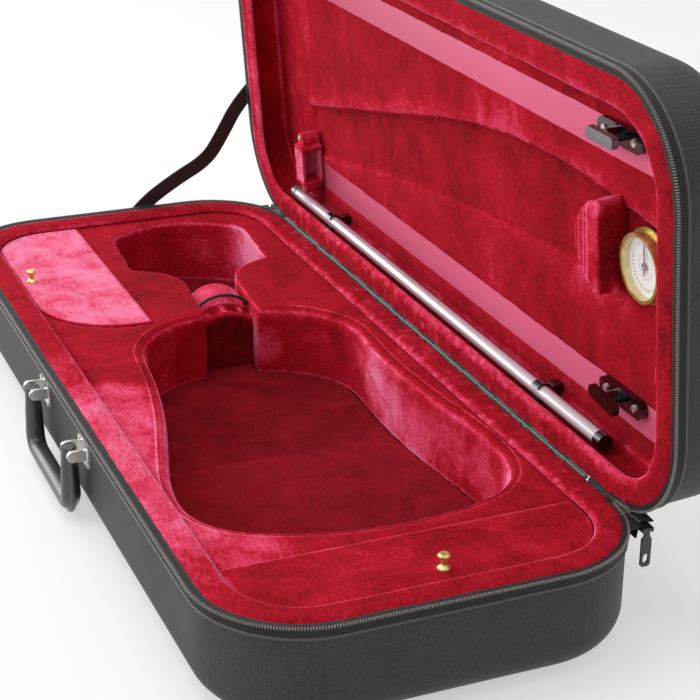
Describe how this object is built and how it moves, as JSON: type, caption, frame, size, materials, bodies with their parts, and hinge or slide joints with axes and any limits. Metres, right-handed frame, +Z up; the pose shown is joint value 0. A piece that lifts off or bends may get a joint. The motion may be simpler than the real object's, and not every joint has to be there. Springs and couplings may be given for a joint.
{
  "type": "viola case",
  "caption": "Oblong zipped case for a viola, standing open, with a shaped velvet cavity, lidded pockets, bow holders, string tube, hygrometer and carrying handle.",
  "frame": {"origin": "centre of the base's flat underside", "axes": "+Z up; +X to the end that holds the viola's body; +Y to the hinge, so the handle is at -Y; the lid is stored open at 85.5 degrees"},
  "size_m": [0.8282, 0.3969, 0.3966],
  "materials": {
    "shell_ply": "raw plywood, hidden under the cover and lining",
    "black_nylon": "woven, matt",
    "black_piping": "matt cord",
    "zip_tape": "woven tape",
    "zip_teeth": "moulded coil",
    "crimson_velvet": "brushed velvet pile",
    "dark_velvet": "plain velvet",
    "elastic_cord": "braided elastic",
    "webbing": "woven webbing",
    "knob_brass": "polished",
    "grip_leather": "grained, stitched edge",
    "chrome_plate": "polished",
    "hinge_steel": "satin",
    "black_metal": "black enamel",
    "pink_satin": "satin sheen",
    "black_gloss": "gloss",
    "grey_plastic": "satin",
    "clear_tube": "glossy, smoke grey",
    "dial_white": "matt white with dark marks",
    "meter_glass": "clear"
  },
  "bodies": {
    "base": {"base_shell": "shell_ply", "base_cover": "black_nylon", "base_bottom_panel": "black_nylon", "base_piping": "black_piping", "base_zip_tape": "zip_tape", "base_zip_teeth": "zip_teeth", "base_rim_border": "crimson_velvet", "suspension_block": "crimson_velvet", "cavity_floor_pad": "dark_velvet", "neck_rest": "dark_velvet", "neck_cord": "elastic_cord", "handle_brackets": "chrome_plate", "handle_pins": "chrome_plate", "handle_rivets": "chrome_plate", "handle_backing_plates": "hinge_steel", "hinge_leaf_base": "hinge_steel", "hinge_pin": "hinge_steel", "hinge_rivets_base": "hinge_steel", "zip_gussets": "zip_tape", "zip_slider": "black_metal", "stay_strap": "webbing", "strap_anchor_base": "webbing"},
    "lid": {"lid_shell": "shell_ply", "lid_cover": "black_nylon", "lid_top_panel": "black_nylon", "lid_piping": "black_piping", "lid_zip_tape": "zip_tape", "lid_zip_teeth": "zip_teeth", "lid_rim_border": "crimson_velvet", "lid_lining": "crimson_velvet", "neck_pad": "crimson_velvet", "bow_tip_holder_lower": "crimson_velvet", "bow_tip_holder_upper": "crimson_velvet", "strap_anchor_lid": "webbing", "hygrometer_housing": "knob_brass", "hinge_leaf_lid": "hinge_steel", "hinge_rivets_lid": "hinge_steel", "bow_strip_lower": "pink_satin", "bow_strip_upper": "pink_satin", "bow_tip_holder_screws": "chrome_plate", "bow_clip_screws": "chrome_plate", "bow_clip_bases": "black_gloss", "tube_clamps": "black_gloss", "hygrometer_dial": "dial_white", "hygrometer_glass": "meter_glass"},
    "left_pocket_lid": {"left_pocket_lid": "crimson_velvet", "left_pocket_knob": "knob_brass"},
    "right_pocket_lid": {"right_pocket_lid": "crimson_velvet", "right_pocket_knob": "knob_brass"},
    "handle": {"handle_grip": "grip_leather"},
    "zip_pull": {"zip_pull": "black_metal"},
    "bow_clip_bar_lower": {"bow_clip_bar_lower": "grey_plastic"},
    "bow_clip_bar_upper": {"bow_clip_bar_upper": "grey_plastic"},
    "string_tube": {"string_tube": "clear_tube", "tube_cap_fixed": "grey_plastic"},
    "tube_cap": {"tube_cap_loose": "black_gloss"},
    "hygrometer_needle": {"hygrometer_needle": "black_metal"}
  },
  "joints": [
    {"name": "lid_hinge", "type": "hinge", "parent": "base", "child": "lid", "pos_m": [0, 0.1581, 0.08], "axis": [-1, 0, 0], "range_deg": [-85.5, 0], "deforming": ["stay_strap"]},
    {"name": "handle_swing", "type": "hinge", "parent": "base", "child": "handle", "pos_m": [0.015, -0.169, 0.0605], "axis": [-1, 0, 0], "range_deg": [0, 110]},
    {"name": "left_pocket_lid_hinge", "type": "hinge", "parent": "base", "child": "left_pocket_lid", "pos_m": [-0.252, -0.04225, 0.075], "axis": [-1, 0, 0], "range_deg": [0, 100]},
    {"name": "right_pocket_lid_hinge", "type": "hinge", "parent": "base", "child": "right_pocket_lid", "pos_m": [0.31125, 0.003, 0.075], "axis": [0, -1, 0], "range_deg": [0, 95]},
    {"name": "zip_pull_swing", "type": "hinge", "parent": "base", "child": "zip_pull", "pos_m": [0.3729, 0.161, 0.0775], "axis": [0, -1, 0], "range_deg": [-30, 85]},
    {"name": "lower_bow_clip_turn", "type": "hinge", "parent": "lid", "child": "bow_clip_bar_lower", "pos_m": [0.285, 0.17278, 0.13562], "axis": [0, -0.9969, -0.0785], "range_deg": [0, 90]},
    {"name": "upper_bow_clip_turn", "type": "hinge", "parent": "lid", "child": "bow_clip_bar_upper", "pos_m": [0.285, 0.15727, 0.33271], "axis": [0, -0.9969, -0.0785], "range_deg": [0, 90]},
    {"name": "string_tube_slide", "type": "slide", "parent": "lid", "child": "string_tube", "axis": [1, 0, 0], "range_m": [-0.005, 0.03]},
    {"name": "tube_cap_pull", "type": "slide", "parent": "string_tube", "child": "tube_cap", "axis": [1, 0, 0], "range_m": [0, 0.014]},
    {"name": "hygrometer_needle_turn", "type": "hinge", "parent": "lid", "child": "hygrometer_needle", "pos_m": [0.318, 0.17797, 0.24808], "axis": [0, -0.9969, -0.0785], "range_deg": [-120, 120]}
  ]
}
